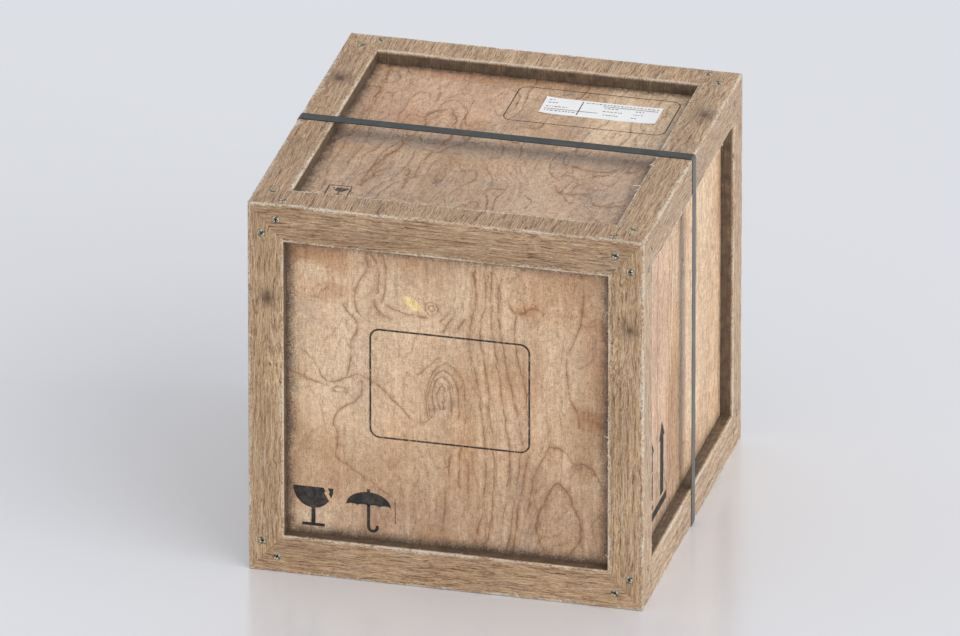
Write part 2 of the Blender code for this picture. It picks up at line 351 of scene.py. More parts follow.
def all_timbers():
    seed = 0
    for y, front in ((-1, "front"), (1, "back")):
        for x, left in ((-1, "left"), (1, "right")):
            seed += 1
            yield Timber(f"post_{front}_{left}", "crate", Z, {X: x, Y: y}, seed)
    for z, level, body in ((-1, "base", "crate"), (1, "lid", "lid")):
        for along, across, sides in ((X, Y, ("front", "back")), (Y, X, ("left", "right"))):
            for sign, side in zip((-1, 1), sides):
                seed += 1
                yield Timber(f"{level}_rail_{side}", body, along, {across: sign, Z: z}, seed)


def arc(middle, radius, start, steps):
    """A quarter turn from the start angle, in degrees."""
    return moved(ellipse(radius, radius, start, start + 90, steps), *middle)


def timber_section(i, j, outer, edges):
    """The section as depths from the two outer faces, from the outer arris round."""
    across, up = REACH[i], REACH[j]
    near = PANEL_RECESS - FIT_GAP
    far = PANEL_RECESS + PANEL_THICKNESS + FIT_GAP
    share = across / (across + up)
    return [
        *arc((outer, outer), outer, 180, 6),
        *arc((across - edges[0], edges[0]), edges[0], 270, 3),
        (across, near),
        (across - GROOVE_DEPTH, near),
        (across - GROOVE_DEPTH, far),
        (across, far),
        (across, up - INNER_EASE),
        (across - share * INNER_EASE, up - (1 - share) * INNER_EASE),
        (across - INNER_EASE, up),
        (far, up),
        (far, up - GROOVE_DEPTH),
        (near, up - GROOVE_DEPTH),
        (near, up),
        *arc((edges[1], up - edges[1]), edges[1], 90, 3),
    ]


# The section's points on the outer arris and on the inner edge, between which an end splits into two mitres
OUTER_POINT, INNER_POINT = 3, 16


def worn_radius(along, seed, size):
    """How far an arris is worn round there: a slow change, a ragged one, and chips."""
    slow, ragged, chips = (
        noise.noise((along * rate, seed * 7.3, level)) for rate, level in ((14, 0), (90, 4), (34, 8))
    )
    return size * max(0.35, 1 + 0.35 * slow + 0.22 * ragged + 2.6 * max(0, chips - 0.28))


def timber_mesh(timber):
    i, j = timber.sides
    k = timber.along
    shape = bmesh.new()
    rings = []
    for row in range(TIMBER_ROWS + 1):
        share = row / TIMBER_ROWS
        radii = [worn_radius(share * SIZE[k], 3 * timber.seed + n, OUTER_ROUND) for n in range(3)]
        edges = [radius * INNER_EASE / OUTER_ROUND for radius in radii[1:]]
        ring = []
        for a, b in timber_section(i, j, radii[0], edges):
            mitre = REACH[k] * max(a / REACH[i], b / REACH[j]) + MITRE_GAP
            ring.append(shape.verts.new(vector(
                (i, from_face(i, timber.sides[i], a)),
                (j, from_face(j, timber.sides[j], b)),
                (k, from_face(k, -1, mitre + (SIZE[k] - 2 * mitre) * share)),
            )))
        rings.append(ring)
    bridge(shape, rings)
    for ring in (rings[0], rings[-1]):
        shape.faces.new(ring[OUTER_POINT:INNER_POINT + 1])
        shape.faces.new(ring[INNER_POINT:] + ring[:OUTER_POINT + 1])
    bmesh.ops.recalc_face_normals(shape, faces=shape.faces)
    return mesh_from(shape, timber.name + "_worn")


# Each knot's middle and radius
KNOTS = {
    "post_front_left": (-0.2245, -0.2565, 0.372, 0.014),
    "post_front_right": (0.232, -0.2565, 0.380, 0.012),
    "lid_rail_left": (-0.230, 0.122, 0.499, 0.017),
    "lid_rail_right": (0.232, 0.125, 0.499, 0.016),
    "post_back_left": (-0.226, 0.2565, 0.130, 0.007),
    "base_rail_right": (0.25, -0.080, 0.026, 0.006),
}
TIMBER_LIGHT = (0.60, 0.405, 0.240)
TIMBER_MIDDLE = (0.47, 0.305, 0.172)
TIMBER_GREY = (0.45, 0.355, 0.26)
TIMBER_PALE = (0.77, 0.68, 0.555)
# The paler, greyer colour of the painted sheen and bleaching on outer faces
TIMBER_SHEEN_AND_BLEACH = (0.57, 0.435, 0.322)
# The painted shade, with some dirt, on the walls of the recesses
TIMBER_DIRT_AND_SHADE = (0.085, 0.058, 0.040)
TIMBER_KNOT = (0.115, 0.062, 0.036)
# Growth rings round a pith outside the timber, and a saw's marks
RING_STEP = 0.0046
PITH = 0.13
SAW_STEP = 0.0031
# Timbers darker than the rest
TIMBER_TONE = {"lid_rail_front": 0.85, "base_rail_front": 0.86, "lid_rail_left": 0.80,
               "lid_rail_right": 0.90, "post_back_right": 0.95}
# How far each outer face is paled and greyed: painted sheen, most on the right face, with bleaching
FACE_SHEEN_AND_BLEACH = {(X, 1): 0.48, (Z, 1): 0.22, (X, -1): 0.35, (Y, 1): 0.30, (Y, -1): 0.0, (Z, -1): 0.0}


def timber_edges(timber, place):
    """Three shader fields: the distance to the nearest long edge, the recess's walls, which take painted
    shade and dirt, and the painted sheen and bleaching of the outer faces.
    """
    (i, i_sign), (j, j_sign) = timber.sides.items()
    a = depth_at(place, i, i_sign)
    b = depth_at(place, j, j_sign)
    opening = hypot(a - REACH[i], b).least(hypot(a, b - REACH[j]))
    distance = (hypot(a, b) * 0.85).least(opening * 1.05)
    walls = [
        deep.rise(reach - 0.0005, reach - 0.0002) * out.rise(0.001, 0.0045)
        for deep, reach, out in ((a, REACH[i], b), (b, REACH[j], a))
    ]
    sheen_and_bleach = a.fall(0.0003, 0.0009) * FACE_SHEEN_AND_BLEACH[i, i_sign] + b.fall(0.0003, 0.0009) * FACE_SHEEN_AND_BLEACH[j, j_sign]
    return distance, walls[0].most(walls[1]), sheen_and_bleach


def knot(timber, place, axes, smudge):
    """A knot's shade, and how far it pushes the grain aside."""
    *centre, radius = KNOTS[timber.name]
    away = [place[axis] - centre[axis] for axis in axes]
    across = hypot(away[1], away[2])
    reach = hypot(away[0] * 0.8, across) + smudge * radius
    shade = reach.fall(0, radius * 0.6) * 0.5 + reach.fall(0, radius * 1.7) * 0.62
    bend = hypot(away[0] * 0.35, across).fall(0, radius * 4.5)
    return shade, bend * away[1].sign() * (radius * 0.7)


def timber_material(timber, along, seed):
    graph = material_graph(f"{timber.name}_grain_{'xyz'[along]}", seed)
    place = graph.point().parts()
    first, second = [axis for axis in (X, Y, Z) if axis != along]
    point = point_at(place[along], place[first], place[second])
    wander = point.noise((5, 16, 16), 0) - 0.5
    wave = point.noise((34, 50, 50), 1) - 0.5
    shift = wander * 0.018 + wave * 0.0042
    smudge = point.noise(90, 9, 3, 0.6) - 0.5
    if timber.name in KNOTS:
        knot_shade, push = knot(timber, place, (along, first, second), smudge)
        shift = shift + push
    sides = (place[first] + shift, place[second] + shift)
    grain = point_at(place[along], *sides)
    pith_shift = TIMBER_WIDTH * (seed % 3 - 1)
    late = hypot(sides[0] - pith_shift, place[second] + shift * 0.7 - PITH) / RING_STEP
    late = late.fraction()
    late = late.rise(0.30, 0.92) * late.fall(0.94, 1.0)
    streak = grain.noise((20, 540, 540), 2, 3, 0.6)
    fibre = grain.noise((44, 800, 800), 3, 3, 0.65) - 0.5
    fuzz = grain.noise((260, 900, 900), 10, 2, 0.6) - 0.5
    pores = grain.noise((75, 700, 700), 4, 1).rise(0.60, 0.70)
    blotch = point.noise((7, 22, 22), 5, 3, 0.6)
    weather = point.noise((18, 45, 45), 6, 4, 0.65)
    distance, wall_dirt_and_shade, sheen_and_bleach = timber_edges(timber, place)
    colour = graph.mix(blotch.rise(0.32, 0.68), TIMBER_MIDDLE, TIMBER_LIGHT)
    colour = graph.mix(weather.rise(0.50, 0.75) * 0.5, colour, TIMBER_GREY)
    # Painted sheen and bleaching pale the outer faces, the right face most
    colour = graph.mix(sheen_and_bleach * (weather.rise(0.2, 0.8) * 0.6 + 0.7), colour, TIMBER_SHEEN_AND_BLEACH)
    tone = late * -0.18 - streak.rise(0.50, 0.64) * 0.32 + streak.fall(0.30, 0.46) * 0.10
    tone = tone + fibre * 2.4 + fuzz * 1.2 - pores * 0.22 + 1.08
    if along != timber.along:
        # Saw marks across a cross rail
        kerf = ((place[first if along == Y else X] + wave * 0.004) / SAW_STEP).fraction()
        tone = tone - kerf.rise(0.35, 0.75) * kerf.fall(0.80, 1.0) * weather.rise(0.25, 0.55) * 0.20
    colour = graph.shade(colour, tone * TIMBER_TONE.get(timber.name, 1))
    if timber.name in KNOTS:
        colour = graph.mix(knot_shade * 0.9, colour, TIMBER_KNOT)
    ragged = point.noise((240, 480, 480), 7, 4, 0.75) - 0.5
    slow = point.noise(17, 8) - 0.5
    wear = (distance + ragged * 0.022 + slow * 0.010).fall(-0.0008, 0.0032)
    colour = graph.mix(wear * 0.88, colour, TIMBER_PALE)
    # Painted shade and dirt on the recess's walls, deeper inside the recess
    colour = graph.mix(wall_dirt_and_shade * (smudge * 0.7 + 0.86), colour, TIMBER_DIRT_AND_SHADE)
    height = fibre * 0.9 - streak * 0.6 - pores * 0.4 - late * 0.2 + ragged * wear * 1.5
    return graph.finish(colour, fibre * 0.3 + 0.62, height, 0.0006, 0.8)


def dress_timber(timber, bores):
    mesh = smoothed(cut(timber_mesh(timber), bores), 32)
    mesh.materials.append(timber_material(timber, timber.along, 17 * timber.seed))
    if timber.along == X and timber.sides[Z] > 0:
        # The lid's cross rails carry saw marks across their tops and down their inner walls
        mesh.materials.append(timber_material(timber, Y, 17 * timber.seed + 3))
        mesh.materials.append(timber_material(timber, Z, 17 * timber.seed + 6))
        for face in mesh.polygons:
            top, inner = face.normal.z > 0.8, -face.normal.y * timber.sides[Y] > 0.8
            face.material_index = 1 if top else 2 if inner else 0
    add_piece(mesh, timber.body, [timber.name])


# Screws

# Each face's axis and outer side
FACES = {"front": (Y, -1), "left": (X, -1), "right": (X, 1), "lid": (Z, 1)}
# Faces with the opposite one, whose screws the solids leave out and which mirror theirs
MIRRORED = {"front": "back", "lid": "base"}


def all_screws():
    """The solids' screws, and those of the back and the underside, which mirror the front and the lid."""
    for body, nodes in frame["record"]["behaviour"]["bodies"].items():
        for name in nodes:
            if "_screw_" not in name:
                continue
            face = name.split("_")[0]
            axis, sign = FACES[face]
            low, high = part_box(name)
            place = (low + high) / 2
            place[axis] = from_face(axis, sign, 0)
            length = high[axis] - low[axis] + SCREW_HEAD_SINK
            yield Screw(name, name, body, axis, sign, place, length)
            if face in MIRRORED:
                other = place.copy()
                other[axis] = from_face(axis, -sign, 0)
                new_name = name.replace(face, MIRRORED[face], 1)
                yield Screw(new_name, None, "crate" if face == "lid" else body, axis, -sign, other, length)


def screw_turn(screw):
    """Puts a screw that is made head up along Z in its own place and direction."""
    direction = vector((screw.axis, screw.sign))
    spin = Matrix.Rotation(random.uniform(0, math.pi), 4, "Z")
    return Matrix.Translation(screw.place) @ direction.to_track_quat("Z", "Y").to_matrix().to_4x4() @ spin


def revolved(profile, sides, name):
    shape = bmesh.new()
    verts = [shape.verts.new((radius, 0, height)) for radius, height in profile]
    edges = [shape.edges.new(pair) for pair in zip(verts, verts[1:])]
    bmesh.ops.spin(
        shape, geom=verts + edges, cent=(0, 0, 0), axis=(0, 0, 1), angle=2 * math.pi, steps=sides
    )
    bmesh.ops.remove_doubles(shape, verts=shape.verts, dist=1e-6)
    bmesh.ops.recalc_face_normals(shape, faces=shape.faces)
    return mesh_from(shape, name)


def bore_cutter(screws):
    """Every screw's countersunk hole, and the strap's notches, as one cutter."""
    shape = bmesh.new()
    head = SCREW_HEAD_RADIUS + FIT_GAP
    shank = SCREW_SHANK_RADIUS + FIT_GAP
    above, shoulder, notch_length = 0.002, 0.0009, 0.2
    for screw in screws:
        depth = screw.length + 2 * FIT_GAP
        profile = [(0, above), (head, above), (head, -shoulder), (shank, -SCREW_HEAD_DEPTH - shoulder),
                   (shank, -depth), (0, -depth)]
        bore = revolved(profile, 20, "bore")
        bore.transform(screw_turn(screw))
        shape.from_mesh(bore)
        bpy.data.meshes.remove(bore)
    for sign in (-1, 1):
        notch = bmesh.ops.create_cube(shape, size=1)["verts"]
        size = Matrix.Diagonal((notch_length, STRAP_NOTCH_WIDTH, 2 * STRAP_NOTCH_DEPTH, 1))
        bmesh.ops.transform(shape, matrix=Matrix.Translation((sign * WIDTH / 2, 0, 0)) @ size, verts=notch)
    return mesh_from(shape, "bores")


def cross_tool():
    """The four-armed driver recess, narrowing downwards."""
    shape = bmesh.new()
    levels = []
    for height, span, arm in ((0.001, 0.0038, 0.00085), (-0.0026, 0.0014, 0.00055)):
        outline = []
        for turn in range(4):
            spin = Matrix.Rotation(turn * math.pi / 2, 2)
            outline += [spin @ Vector(point) for point in ((span, -arm), (span, arm), (arm, arm))]
        levels.append([shape.verts.new((*point, height)) for point in outline])
        shape.faces.new(levels[-1])
    bridge(shape, levels)
    bmesh.ops.recalc_face_normals(shape, faces=shape.faces)
    return mesh_from(shape, "cross_tool")


def screw_mesh(length):
    """A countersunk screw with ridges for its thread, head up along Z."""
    top = -SCREW_HEAD_SINK
    neck = top - SCREW_HEAD_DEPTH
    shank = SCREW_SHANK_RADIUS
    plain, pitch, point = 0.012, 0.0028, 0.004
    profile = [(0, top + 0.00025), (0.0030, top + 0.0002), (0.0044, top + 0.00005), (0.0049, top - 0.00015),
               (SCREW_HEAD_RADIUS, top - 0.0004), (SCREW_HEAD_RADIUS, top - 0.0006), (shank, neck),
               (shank * 0.92, neck - 0.0004), (shank * 0.92, neck - plain)]
    depth = neck - plain
    while depth - pitch > -length + point + 0.001:
        profile += [(shank * size, depth - pitch * down)
                    for size, down in ((0.72, 0.30), (1, 0.55), (1, 0.65), (0.72, 0.90))]
        depth -= pitch
    profile += [(shank * 0.7, -length + point), (0, -length)]
    body = revolved(profile, 28, f"wood_screw_{length * 1000:.0f}")
    return smoothed(cut(body, cross_tool()), 35)


def zinc_material():
    graph = material_graph("galvanised_steel")
    point = graph.point()
    place = point.parts()
    flakes = point.noise(700, 3)
    dull = point.noise(1500, 5)
    # Painted shade and dirt lie in the driver's recess and round the head's rim
    sunk_shade_and_dirt = place[Z].fall(-0.0013, -0.0006).most(hypot(place[X], place[Y]).rise(0.0046, 0.0051))
    # Spangle whose bright part is made brighter to stand in for glints: partly a painted highlight
    colour = graph.mix(flakes.rise(0.42, 0.58), (0.16, 0.14, 0.105), (0.92, 0.86, 0.69))
    colour = graph.mix((dull.rise(0.54, 0.68) * 0.7).most(sunk_shade_and_dirt), colour, (0.045, 0.038, 0.030))
    return graph.finish(colour, flakes * 0.25 + 0.30, dull, 0.0002, 0.8, {"Metallic": 0.8})


def dress_screws(screws):
    zinc = zinc_material()
    meshes = {}
    for screw in screws:
        key = round(screw.length, 3)
        if key not in meshes:
            meshes[key] = screw_mesh(screw.length)
            meshes[key].materials.append(zinc)
        replaces = [screw.node] if screw.node else ()
        name = screw.name + "_threaded"
        add_piece(meshes[key], screw.body, replaces, name, screw_turn(screw))


# Panels

PLY_LIGHT = (0.79, 0.555, 0.355)
PLY_ROSE = (0.75, 0.470, 0.288)
PLY_MIDDLE = (0.54, 0.325, 0.185)
PLY_PALE = (0.84, 0.635, 0.435)
PLY_PINK = (0.72, 0.415, 0.285)
PLY_STAIN = (0.40, 0.185, 0.075)
PLY_RUST = (0.60, 0.315, 0.155)
PLY_GREY = (0.36, 0.275, 0.215)
PLY_LINE = (0.165, 0.078, 0.040)
PLY_WASH = (0.62, 0.50, 0.41)
# The colour of the painted shade and dirt along the panels' edges
PLY_DIRT_AND_SHADE = (0.050, 0.036, 0.027)

# In the stains and lines below, a place is across and along from the panel's middle, and it and the sizes
# beside it are in millimetres. A spot is a colour, its place, its half width and length, and its strength.
# A broad grey spot low on a panel: darker towards the bottom
LOW_DARKENING = (PLY_GREY, 0, -240, 340, 170, 0.5)
# Sharp-edged stains that water left on the front panel, written as spots are
TIDES = [
    (PLY_RUST, -160, 188, 34, 24, 0.8), (PLY_LIGHT, -177, 149, 26, 26, 0.7),
    (PLY_RUST, -147, 134, 22, 10, 0.4), (PLY_RUST, -52, 190, 17, 20, 0.8),
    (PLY_PINK, 198, 88, 16, 26, 0.6), (PLY_STAIN, 192, -10, 22, 16, 0.4),
]
# The front panel's pitted part, and its boat-shaped veneer patch with the cosine and sine of its turn
PITTED = (125, 150, 85, 65)
PATCH = (-45, 126, 15, 7)
PATCH_TURN = (0.81, 0.59)
PATCH_COLOUR = (0.94, 0.71, 0.33)
# Where two veneers of the lid meet, across from its middle in metres
VENEER_JOINT = 0.1

# Drawn lines: curves along or across a panel, the right half of an arch, or an oval's place and half sizes.
# Each starts with its width, where 1 is the common one.
FRONT_LINES = {
    "along": [
        (0.8, (-104, 190), (-103, 168), (-116, 143), (-117, 113), (-98, 96)),
        (1, (-124, 122), (-132, 117), (-118, 95), (-117, 81), (-123, 66), (-122, 51), (-130, 19)),
        (1, (-111, 14), (-109, 0), (-117, -11), (-137, -27), (-146, -44), (-140, -66), (-142, -90),
         (-121, -107), (-74, -137)),
        (1.4, (-93, 126), (-92, 117), (-75, 103)), (0.7, (-95, 187), (-88, 160), (-89, 137)),
        (0.7, (-84, 188), (-79, 153), (-85, 125)), (1.4, (4, 112), (-6, 94)),
        (1.5, (21, 114), (12, 99)), (1.2, (1, 119), (-11, 105)),
        (0.95, (32, 178), (35, 144), (28, 108), (27, 83), (38, 17), (45, -52), (46, -112), (31, -198)),
        (0.9, (45, 180), (46, 137), (40, 107), (46, 51), (52, -7), (57, -85), (54, -149), (45, -201)),
        (0.85, (54, 180), (54, 123), (61, 64), (70, -5), (77, -64), (74, -116), (67, -170)),
        (1, (67, 173), (63, 145), (69, 80), (80, 22), (91, -32), (88, -92), (73, -197)),
        (1.1, (102, -64), (92, -114), (82, -196)), (1.1, (128, -46), (109, -93), (98, -151)),
        (0.9, (3, -72), (-3, -133), (-8, -178)), (0.8, (17, -60), (13, -94), (14, -116)),
        (0.9, (85, 127), (85, 75), (95, 38), (101, -25)),
        (1.1, (167, 190), (169, 137), (162, 107), (149, 63), (159, 7), (166, -17)),
    ],
    "across": [
        (1, (-188, 52), (-170, 33), (-155, 10), (-130, 17), (-117, 23), (-103, 20), (-79, 2), (-58, -18),
         (-47, -30), (-35, -33), (-21, -22)),
        (0.8, (-204, 20), (-178, 12), (-155, 4)), (0.8, (-79, 120), (-54, 112), (-29, 110)),
        (0.8, (-39, 32), (-28, 42), (-14, 59)),
        (1.1, (74, 145), (87, 129), (106, 137), (114, 136)),
        (1.1, (128, -46), (149, -54), (159, -68), (174, -67), (195, -98)),
    ],
    "oval": [(0.7, -137, -1, 9, 4), (0.8, -21, 122, 7, 8), (0.8, -21, 122, 3, 3)],
    "arch": [
        (0.9, (-9, 20), (-6, 13), (-5, 0), (-7, -12)),
        (0.8, (-8, 32), (-1, 27), (2, 18), (4, 2), (3, -16)),
        (0.7, (-6, 41), (4, 34), (10, 21), (13, 0), (12, -22)),
        (0.7, (-3, 52), (11, 41), (19, 22), (22, -2), (21, -27)),
        (1.6, (139, -95), (149, -106), (156, -123), (167, -152), (155, -190)),
    ],
}
LID_LINES = {
    "along": [
        (1.4, (-81, 102), (-100, 87), (-106, 73), (-104, 40), (-112, 10), (-118, -30), (-133, -80),
         (-138, -144)),
        (1.4, (-81, 102), (-75, 89), (-69, 70), (-67, 41), (-64, 16), (-73, -28), (-80, -84), (-77, -104)),
        (1.4, (-100, -80), (-119, -92), (-131, -118), (-135, -150)),
        (1.4, (-100, -80), (-90, -86), (-86, -102), (-85, -140)),
        (0.7, (-71, 115), (-60, 93), (-60, 63), (-53, 36)),
    ],
    "across": [
        (0.7, (-93, 131), (-73, 148), (-66, 142)),
        (1.5, (98, -87), (108, -105), (146, -106), (152, -126), (160, -130), (196, -121)),
        (1.4, (104, -26), (149, -33), (163, -19), (176, -28), (190, -5)),
        (0.8, (98, -72), (104, -54), (129, -80), (151, -86), (163, -67)),
        (0.9, (12, -129), (22, -115), (39, -114)),
    ],
}
LEFT_LINES = {
    "along": [
        (1, (-60, 196), (-50, 120), (-64, 70), (-40, 20), (-46, -40), (-70, -90), (-62, -150), (-80, -196)),
    ],
    "across": [(1, (38, -150), (60, -100), (96, -90), (120, -52), (160, -40), (204, -66))],
    "oval": [(1, 56, 28, 8, 20), (1, 56, 26, 18, 38)],
    "arch": [(2, (-20, -80), (-8, -96), (2, -130), (-2, -160), (4, -196))],
}
BACK_LINES = {
    "along": [
        (1, (150, 196), (140, 130), (160, 80), (120, 30), (100, -20), (124, -60), (108, -110), (130, -196)),
        (1, (-160, 60), (-130, 10), (-150, -40), (-120, -90), (-136, -150), (-120, -196)),
    ],
    "arch": [(2, (40, -60), (56, -84), (66, -120), (60, -160), (68, -196))],
    "oval": [(1, -150, 80, 12, 26), (1, -150, 82, 5, 10)],
}

# Each panel: the axis its veneer runs across, the one it runs along, the one through it and its outer side.
# The growth rings come from bands (from, to, rings) and bumps (place, rings, half width, half length).
# strands are long lines at those places across. contour is how clear the growth rings are, dark how dark the
# drawn lines are, jag how far they fray, in metres, and soil how dirty the panel is and how deep the painted
# shade along its edges is.
Panel = namedtuple(
    "Panel", "name across along through sign bands bumps spots strands lines contour dark jag soil seed"
)
PANELS = [
    Panel(
        "front_panel", X, Z, Y, -1, [(10, 105, 6), (-200, -60, -1.8), (110, 200, 1.6)],
        [(-9, 7, 4.4, 16, 30), (140, -235, 5, 36, 105), (-110, 150, 1.4, 50, 70)],
        [
            LOW_DARKENING, (PLY_MIDDLE, -140, -100, 110, 60, 0.9), (PLY_MIDDLE, 40, -110, 220, 110, 0.4),
            (PLY_MIDDLE, 155, 40, 60, 110, 0.5), (PLY_PALE, -100, 70, 160, 130, 0.8),
            (PLY_PALE, 120, 60, 40, 90, 0.2), (PLY_PALE, -165, 160, 30, 20, 0.8),
            (PLY_PALE, 80, 130, 130, 80, 0.5), (PLY_STAIN, 181, -5, 22, 16, 1.1),
            (PLY_RUST, 190, 85, 24, 60, 1.1), (PLY_RUST, 120, 165, 100, 55, 0.55),
            (PLY_RUST, -139, 172, 28, 26, 0.8), (PLY_STAIN, -187, 180, 50, 12, 0.8),
            (PLY_RUST, -150, 132, 45, 18, 0.6), (PLY_RUST, 102, 135, 22, 12, 1.1),
            (PLY_STAIN, 29, -60, 10, 190, 0.4), (PLY_STAIN, -20, -185, 30, 20, 0.6),
            (PLY_STAIN, 174, -76, 22, 18, 0.7), (PLY_RUST, 50, 30, 40, 170, 0.15),
            (PLY_GREY, 128, -130, 60, 70, 0.3), (PLY_MIDDLE, 140, -150, 30, 65, 0.7),
            (PLY_RUST, 20, -30, 18, 100, 0.6), (PLY_PALE, -8, 10, 20, 35, 0.7),
        ],
        [], FRONT_LINES, 0.5, 0.60, 0.0045, 0.35, 11,
    ),
    Panel(
        "lid_panel", X, Y, Z, 1, [(-200, -120, 2), (-20, 50, 3), (130, 200, 2)],
        [(-85, 55, 2.4, 26, 70), (-120, -90, 2.4, 30, 80), (140, -100, 2.4, 50, 35)],
        [
            (PLY_MIDDLE, 0, 0, 600, 600, 0.4), (PLY_GREY, 0, 0, 600, 600, 0.45),
            (PLY_STAIN, -122, 60, 25, 35, 0.8), (PLY_STAIN, -39, 48, 22, 32, 0.8),
            (PLY_STAIN, -43, -40, 18, 50, 0.5), (PLY_STAIN, -56, -110, 18, 50, 0.9),
            (PLY_STAIN, 150, -90, 50, 40, 0.2), (PLY_STAIN, -125, -70, 20, 60, 0.6),
            (PLY_STAIN, -50, 200, 150, 22, 0.9), (PLY_STAIN, 100, -100, 12, 100, 0.3),
            (PLY_PALE, 130, 130, 60, 80, 0.5), (PLY_GREY, -90, -130, 160, 90, 0.6),
            # The grey band across the lid at along -4 is a painted shadow of the strap, which spans the
            # recess above it
            (PLY_GREY, 190, 0, 50, 220, 0.5), (PLY_GREY, 0, -4, 400, 28, 1.1),
            (PLY_GREY, -83, 3, 18, 12, 1.0), (PLY_PINK, -100, 120, 100, 100, 0.5),
            (PLY_MIDDLE, 30, -100, 90, 90, 0.55), (PLY_WASH, 110, -110, 140, 100, 0.4),
        ],
        [-185], LID_LINES, 1.0, 0.80, 0.01, 0.72, 23,
    ),
    Panel(
        "right_panel", Y, Z, X, 1, [(-200, 200, 13)],
        [(-20, -40, 2, 30, 100), (120, 120, 2.5, 30, 90)],
        [
            (PLY_PINK, -120, 50, 90, 300, 0.6), (PLY_PALE, 100, 20, 110, 300, 1.0),
            (PLY_STAIN, 60, -170, 90, 30, 0.3), (PLY_GREY, -120, -200, 120, 140, 0.6),
            # The grey band at across 10 is a painted shadow of the strap's upright run
            (PLY_GREY, 10, 60, 22, 300, 0.9), (PLY_WASH, -120, 50, 90, 250, 0.4),
        ],
        [-170, -120, -60, -48, 75], {}, 0.8, 0.70, 0.002, 0.2, 37,
    ),
    Panel(
        "left_panel", Y, Z, X, -1, [(-200, 200, 8)],
        [(50, 30, 3, 25, 60), (-100, -210, 4, 40, 120), (140, 150, 2, 20, 30)],
        [
            LOW_DARKENING, (PLY_PALE, 50, 80, 130, 110, 0.5), (PLY_STAIN, -60, -170, 80, 30, 0.5),
            (PLY_STAIN, 170, 120, 30, 70, 0.8),
        ],
        [-150, -132, -115, -104, 150], LEFT_LINES, 0.6, 0.65, 0.002, 0.35, 41,
    ),
    Panel(
        "back_panel", X, Z, Y, 1, [(-100, 20, 5), (80, 200, 2)],
        [(60, -190, 4, 45, 130), (-150, 80, 2.4, 20, 40), (130, 110, 2.8, 20, 30)],
        [
            LOW_DARKENING, (PLY_PALE, -50, 60, 150, 120, 0.5), (PLY_STAIN, 120, 180, 80, 20, 0.8),
            (PLY_STAIN, -180, -50, 20, 80, 0.8),
        ],
        [-90, -78, -64, -50, -38, -24], BACK_LINES, 0.6, 0.65, 0.002, 0.35, 53,
    ),
    Panel(
        "base_panel", X, Y, Z, -1, [(-200, 200, 9)], [(50, 30, 3, 35, 90)],
        [(PLY_GREY, 0, 0, 300, 300, 0.4)], [-120, -60, 90, 104], {}, 0.8, 0.70, 0.002, 0.4, 67,
    ),
]
# A drawn line's dark middle, and the stain beside it
LINE_CORE = 0.0008
LINE_HALO = 0.0052
# The step over which the growth rings' slope is measured
PROBE = 0.0008


def veneer_figure(panel, across, along):
    """The veneer's growth rings as one number, whose whole values are the dark lines."""
    point = point_at(across, along, 0)
    meander = point.noise((15, 6, 1), 0, 2, 0.55) - 0.5
    jag = point.noise((150, 32, 1), 1, 3, 0.6) - 0.5
    slant = across + along * 0.06 + (point.noise((9, 4, 1), 2, 1) - 0.5) * 0.05
    figure = meander * 6.5 + jag * 0.55
    for start, end, rings in panel.bands:
        figure = figure + slant.rise(start / 1000, end / 1000) * rings
    for u, v, rings, width, length in panel.bumps:
        a = (across - u / 1000) / (width / 1000)
        b = (along - v / 1000) / (length / 1000)
        figure = figure + ((a * a + b * b) * -1).exponential() * rings
    return figure


def ring_lines(panel, point, across, along):
    """Three shader fields: the growth rings' lines, the fainter ones between them, and their late wood."""
    figure = veneer_figure(panel, across, along)
    beside = veneer_figure(panel, across + PROBE, along)
    above = veneer_figure(panel, across, along + PROBE)
    slope = (hypot(beside - figure, above - figure) / PROBE).most(15)
    part = figure.fraction()
    away = part.least(1 - part) / slope
    broken = point.noise((34, 16, 34), 3, 3, 0.6)
    line = away.fall(0, 0.0024) * broken.rise(0.34, 0.66) * panel.contour
    late = part.rise(0.25, 1.0) * part.fall(0.97, 1.0) * broken.rise(0.25, 0.75) * panel.contour
    half = (figure * 2.6).fraction()
    minor = half.least(1 - half) / (slope * 2.6)
    minor = minor.fall(0, 0.0018) * broken.fall(0.35, 0.60) * panel.contour
    return line, minor, late


def to_line(kind, places, across, along):
    """The shader's rough distance to one of a panel's drawn lines."""
    if kind == "oval":
        return abs(to_spot(across, along, *places) - 1) * (min(places[2:]) / 1000 * 1.3)
    if kind == "across":
        away = abs(along - across.curve(places))
        return away * 0.8 + across.beyond(places[0][0], places[-1][0])
    turned = [(v, u) for u, v in reversed(places)]
    if kind == "arch":
        middle = places[0][0]
        across = abs(across - middle / 1000)
        turned = [(v, u - middle) for v, u in turned]
    away = abs(across - along.curve(turned))
    return away * 0.8 + along.beyond(turned[0][0], turned[-1][0])


def drawn_lines(panel, across, along):
    """The distance to the nearest of the panel's own lines and strands."""
    point = point_at(across, along, 0)
    bend = point.noise((40, 40, 1), 12, 3, 0.55) - 0.5
    twist = point.noise((40, 40, 1), 13, 3, 0.55) - 0.5
    sway = (point.noise((6, 7, 1), 14, 3, 0.55) - 0.5) * 0.045 + bend * 0.008
    jag = (point.noise((170, 120, 1), 17, 3, 0.65) - 0.5) * panel.jag
    bent = (across + bend * 0.009 + jag, along + twist * 0.009 + jag)
    # Each line joins the rest as soon as it is made, so that the shader holds few values at once
    distance = CURVE_SPAN
    for kind, lines in panel.lines.items():
        for width, *places in lines:
            distance = (to_line(kind, places, *bent) / width).least(distance)
    for place in panel.strands:
        distance = abs(across + sway + jag - place / 1000).least(distance)
    return distance


